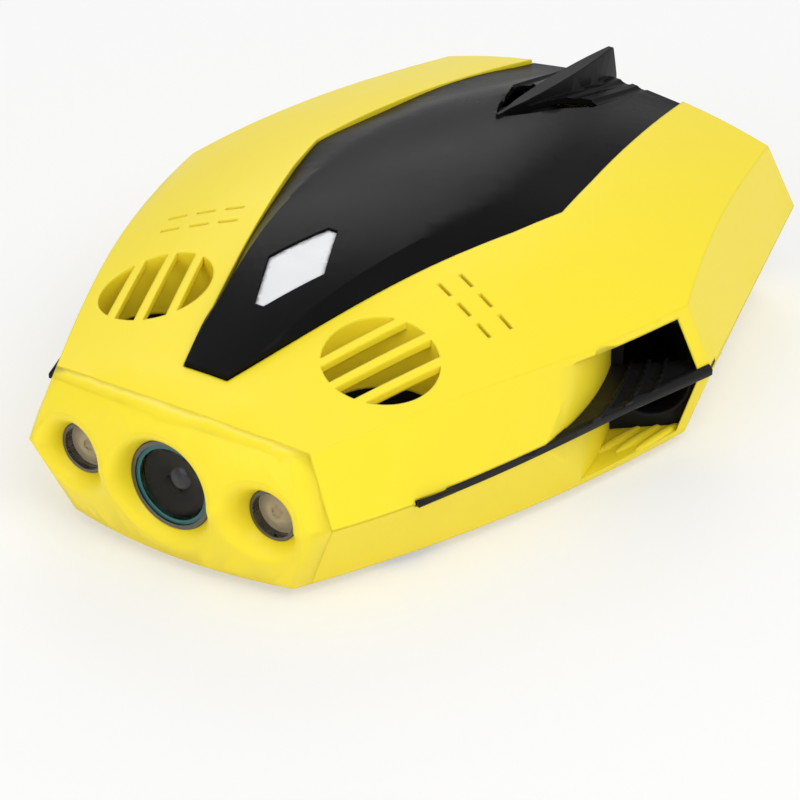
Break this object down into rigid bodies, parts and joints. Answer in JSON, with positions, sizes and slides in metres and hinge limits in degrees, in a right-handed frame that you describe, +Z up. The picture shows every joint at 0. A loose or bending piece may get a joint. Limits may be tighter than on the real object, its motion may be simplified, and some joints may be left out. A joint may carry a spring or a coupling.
{
  "type": "underwater inspection rov",
  "caption": "Compact flat-bodied underwater inspection vehicle with ducted thrusters, front camera and lamps, side water intakes, a raised top cover with a fin and a tether socket at the tail.",
  "frame": {"origin": "on the resting plane, under the middle of the bounding box", "axes": "+Y from nose to tail, +Z up, +X to the vehicle's right as seen from above with the nose pointing away from +Y"},
  "size_m": [0.1898, 0.2503, 0.0727],
  "materials": {
    "shell_yellow": "semi-gloss moulded plastic",
    "cover_black": "satin moulded plastic",
    "lens_white": "translucent white diffuser",
    "board_green": "circuit board",
    "ring_steel": "turned metal",
    "seal_teal": "smooth seal",
    "window_glass": "clear, coated",
    "lens_black": "black lens barrel",
    "lamp_glass": "clear",
    "led_cream": "lamp chip on its heat sink",
    "capsule_grey": "plain moulded plastic",
    "seal_black": "smooth seal",
    "battery_blue": "shrink-wrapped cells",
    "motor_steel": "wound core",
    "bell_grey": "satin paint",
    "prop_black": "satin moulded plastic",
    "nut_steel": "plain metal",
    "duct_black": "satin moulded plastic",
    "socket_black": "satin moulded plastic",
    "pin_brass": "plain brass"
  },
  "bodies": {
    "hull": {"upper_shell": "shell_yellow", "lower_shell": "shell_yellow", "nose_bezel": "shell_yellow", "top_cover": "cover_black", "status_lens": "lens_white", "status_board": "board_green", "camera_ring": "ring_steel", "camera_seal": "seal_teal", "camera_window": "window_glass", "camera_lens": "lens_black", "camera_board": "board_green", "lamp_ring_left": "ring_steel", "lamp_window_left": "lamp_glass", "lamp_led_left": "led_cream", "lamp_ring_right": "ring_steel", "lamp_window_right": "lamp_glass", "lamp_led_right": "led_cream", "pressure_hull": "capsule_grey", "hull_lid": "capsule_grey", "hull_seal": "seal_black", "battery_pack": "battery_blue", "main_board": "board_green", "stator_front_left": "motor_steel", "stator_front_right": "motor_steel", "stator_tail": "motor_steel", "stator_drive_left": "motor_steel", "stator_drive_right": "motor_steel", "duct_front_left": "duct_black", "duct_front_right": "duct_black", "duct_tail": "duct_black", "drive_duct_left": "duct_black", "drive_duct_right": "duct_black", "drive_nozzle_left": "duct_black", "drive_nozzle_right": "duct_black", "side_vane_left": "duct_black", "side_vane_right": "duct_black", "tether_socket": "socket_black", "socket_pins": "pin_brass", "ballast_inserts": "pin_brass", "shell_screws": "nut_steel"},
    "spinner_front_left": {"rotor_front_left": "bell_grey", "propeller_front_left": "prop_black", "prop_nut_front_left": "nut_steel"},
    "spinner_front_right": {"rotor_front_right": "bell_grey", "propeller_front_right": "prop_black", "prop_nut_front_right": "nut_steel"},
    "spinner_tail": {"rotor_tail": "bell_grey", "propeller_tail": "prop_black", "prop_nut_tail": "nut_steel"},
    "spinner_drive_left": {"rotor_drive_left": "bell_grey", "propeller_drive_left": "prop_black", "prop_nut_drive_left": "nut_steel"},
    "spinner_drive_right": {"rotor_drive_right": "bell_grey", "propeller_drive_right": "prop_black", "prop_nut_drive_right": "nut_steel"}
  },
  "joints": [
    {"name": "spin_front_left", "type": "hinge", "parent": "hull", "child": "spinner_front_left", "pos_m": [-0.0387, -0.0711, 0.02], "axis": [0, 0, 1], "continuous": true},
    {"name": "spin_front_right", "type": "hinge", "parent": "hull", "child": "spinner_front_right", "pos_m": [0.0387, -0.0711, 0.02], "axis": [0, 0, 1], "continuous": true},
    {"name": "spin_tail", "type": "hinge", "parent": "hull", "child": "spinner_tail", "pos_m": [0, 0.07, 0.02], "axis": [0, 0, 1], "continuous": true},
    {"name": "spin_drive_left", "type": "hinge", "parent": "hull", "child": "spinner_drive_left", "pos_m": [-0.043, 0.095, 0.0275], "axis": [0, -1, 0], "continuous": true},
    {"name": "spin_drive_right", "type": "hinge", "parent": "hull", "child": "spinner_drive_right", "pos_m": [0.043, 0.095, 0.0275], "axis": [0, -1, 0], "continuous": true}
  ]
}
